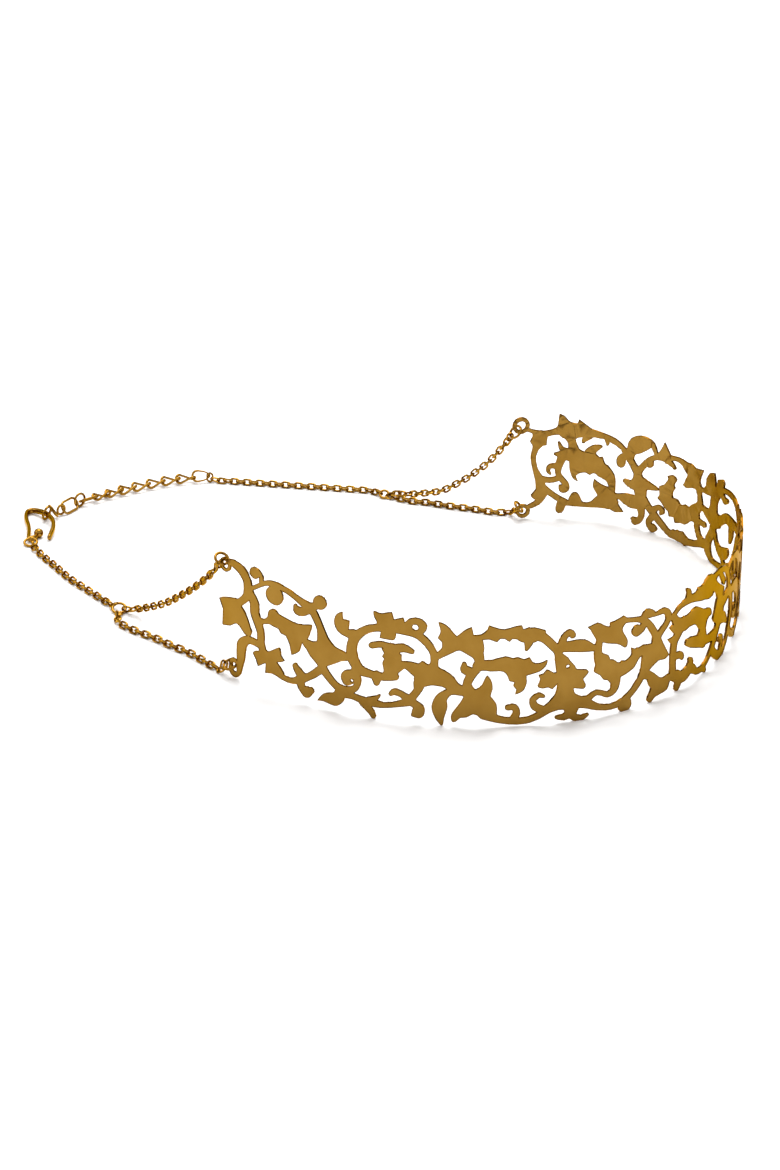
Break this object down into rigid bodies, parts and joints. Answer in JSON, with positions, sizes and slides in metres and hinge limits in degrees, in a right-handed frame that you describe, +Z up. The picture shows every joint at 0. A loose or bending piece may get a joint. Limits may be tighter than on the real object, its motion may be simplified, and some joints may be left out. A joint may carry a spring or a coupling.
{
  "type": "choker necklace",
  "caption": "Openwork scroll choker: a stiff pierced band curved to the neck, fine cable chains that join in pairs, a hook clasp and a run of larger links for adjusting the fit.",
  "frame": {"origin": "middle of the necklace's outline as it lies, on the surface it rests on", "axes": "+Z up, +Y from the throat of the band to the clasp, +X to the wearer's left"},
  "size_m": [0.1144, 0.1712, 0.027],
  "materials": {
    "band_metal": "satin gold tone",
    "chain_metal": "bright gold tone"
  },
  "bodies": {
    "root": {"band": "band_metal", "left_upper_ring": "chain_metal", "left_lower_ring": "chain_metal", "left_join_ring": "chain_metal", "hook_ring": "chain_metal", "right_upper_ring": "chain_metal", "right_lower_ring": "chain_metal", "right_join_ring": "chain_metal", "left_upper_chain": "chain_metal", "left_lower_chain": "chain_metal", "left_clasp_chain": "chain_metal", "right_upper_chain": "chain_metal", "right_lower_chain": "chain_metal", "right_clasp_chain": "chain_metal", "hook": "chain_metal", "catch_ring": "chain_metal", "catch_link": "chain_metal", "adjust_ring": "chain_metal", "adjust_loop": "chain_metal", "adjust_round": "chain_metal", "adjust_link_1": "chain_metal", "adjust_link_2": "chain_metal", "adjust_link_3": "chain_metal", "adjust_link_4": "chain_metal", "adjust_link_5": "chain_metal", "adjust_link_6": "chain_metal", "adjust_link_7": "chain_metal", "adjust_link_8": "chain_metal", "end_link": "chain_metal"}
  },
  "joints": []
}
